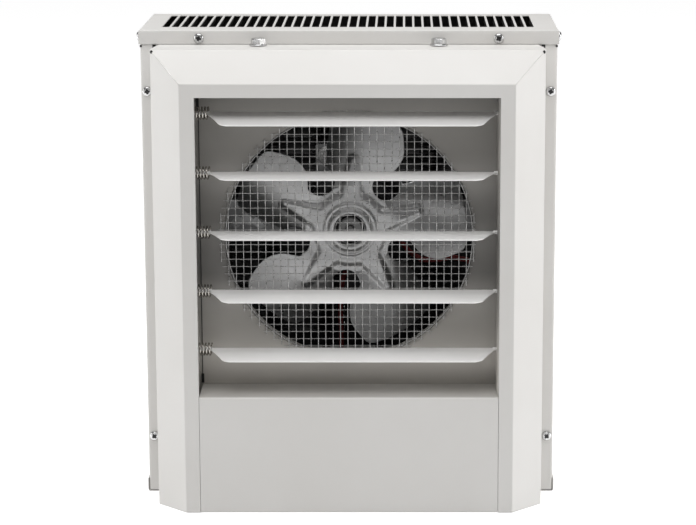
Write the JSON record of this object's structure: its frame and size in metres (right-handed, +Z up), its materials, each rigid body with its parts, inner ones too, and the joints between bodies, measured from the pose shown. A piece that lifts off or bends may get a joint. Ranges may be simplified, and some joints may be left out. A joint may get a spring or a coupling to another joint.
{
  "type": "ceiling mounted fan heater",
  "caption": "Box-shaped unit heater with a bevelled front frame, spring-held tilting louvers, a wire-guarded fan, finned elements, vented top and a wiring cover.",
  "frame": {"origin": "middle of the bottom pan's underside, under the middle of the case", "axes": "+Z up, along the case's height; +X to the right seen from the front; +Y from the front to the back, so the louvers and the air outlet face -Y"},
  "size_m": [0.3616, 0.1934, 0.4064],
  "materials": {
    "enclosure_paint": "semi-gloss warm off-white powder coat",
    "louver_paint": "gloss off-white baked enamel",
    "inner_paint": "satin warm grey-white powder coat, shaded",
    "guard_wire": "bright galvanised woven wire",
    "spring_steel": "plain drawn spring wire",
    "stamped_aluminium": "mill-finish stamped sheet",
    "zinc_hardware": "bright zinc plate",
    "galvanised_steel": "spangled galvanised sheet",
    "motor_paint": "satin black enamel",
    "element_sheath": "heat-darkened steel tube and fins",
    "cutout_ceramic": "glazed ceramic body",
    "black_moulding": "black phenolic moulding",
    "lug_brass": "plain machined",
    "grommet_rubber": "matte black",
    "lead_insulation": "dark red silicone insulation"
  },
  "bodies": {
    "housing": {"side_panel_left": "enclosure_paint", "side_panel_right": "enclosure_paint", "top_cap": "enclosure_paint", "bottom_pan": "enclosure_paint", "rear_panel": "enclosure_paint", "header_rail": "enclosure_paint", "divider_floor": "galvanised_steel", "fan_partition": "inner_paint", "guard_mesh": "guard_wire", "front_frame": "enclosure_paint", "access_panel": "enclosure_paint", "louver_channel_left": "inner_paint", "louver_channel_right": "inner_paint", "motor_front_bell": "motor_paint", "motor_shell": "motor_paint", "motor_rear_bell": "motor_paint", "motor_strap": "galvanised_steel", "motor_nut_left": "zinc_hardware", "motor_nut_right": "zinc_hardware", "heating_element_1": "element_sheath", "heating_element_2": "element_sheath", "heating_element_3": "element_sheath", "element_support": "galvanised_steel", "cutout_bracket": "galvanised_steel", "overheat_cutout": "cutout_ceramic", "contactor": "black_moulding", "terminal_block": "black_moulding", "ground_lug": "lug_brass", "grommet_lower": "grommet_rubber", "grommet_side": "grommet_rubber", "lead_lower": "lead_insulation", "lead_side": "lead_insulation", "cap_screw_left": "zinc_hardware", "cap_screw_right": "zinc_hardware", "side_screw_left": "zinc_hardware", "side_screw_right": "zinc_hardware", "flange_screw_upper_left": "zinc_hardware", "flange_screw_upper_right": "zinc_hardware", "flange_screw_lower_left": "zinc_hardware", "flange_screw_lower_right": "zinc_hardware", "frame_bolt_left": "zinc_hardware", "frame_bolt_right": "zinc_hardware"},
    "louver_1_body": {"louver_1": "louver_paint", "louver_spring_1": "spring_steel"},
    "louver_2_body": {"louver_2": "louver_paint", "louver_spring_2": "spring_steel"},
    "louver_3_body": {"louver_3": "louver_paint", "louver_spring_3": "spring_steel"},
    "louver_4_body": {"louver_4": "louver_paint", "louver_spring_4": "spring_steel"},
    "louver_5_body": {"louver_5": "louver_paint", "louver_spring_5": "spring_steel"},
    "rotor": {"fan_wheel": "stamped_aluminium", "fan_hub": "zinc_hardware", "motor_shaft": "zinc_hardware", "hub_set_screw": "zinc_hardware"}
  },
  "joints": [
    {"name": "louver_1_tilt", "type": "hinge", "parent": "housing", "child": "louver_1_body", "pos_m": [0, -0.102, 0.341], "axis": [1, 0, 0], "range_deg": [-45.9, 44.1]},
    {"name": "louver_2_tilt", "type": "hinge", "parent": "housing", "child": "louver_2_body", "pos_m": [0, -0.102, 0.2902], "axis": [1, 0, 0], "range_deg": [-34.1, 55.9]},
    {"name": "louver_3_tilt", "type": "hinge", "parent": "housing", "child": "louver_3_body", "pos_m": [0, -0.102, 0.2394], "axis": [1, 0, 0], "range_deg": [-34.1, 55.9]},
    {"name": "louver_4_tilt", "type": "hinge", "parent": "housing", "child": "louver_4_body", "pos_m": [0, -0.102, 0.1886], "axis": [1, 0, 0], "range_deg": [-40.7, 49.3]},
    {"name": "louver_5_tilt", "type": "hinge", "parent": "housing", "child": "louver_5_body", "pos_m": [0, -0.102, 0.1378], "axis": [1, 0, 0], "range_deg": [-41.1, 48.9]},
    {"name": "fan_spin", "type": "hinge", "parent": "housing", "child": "rotor", "pos_m": [0, -0.044, 0.231], "axis": [0, 1, 0], "continuous": true}
  ]
}
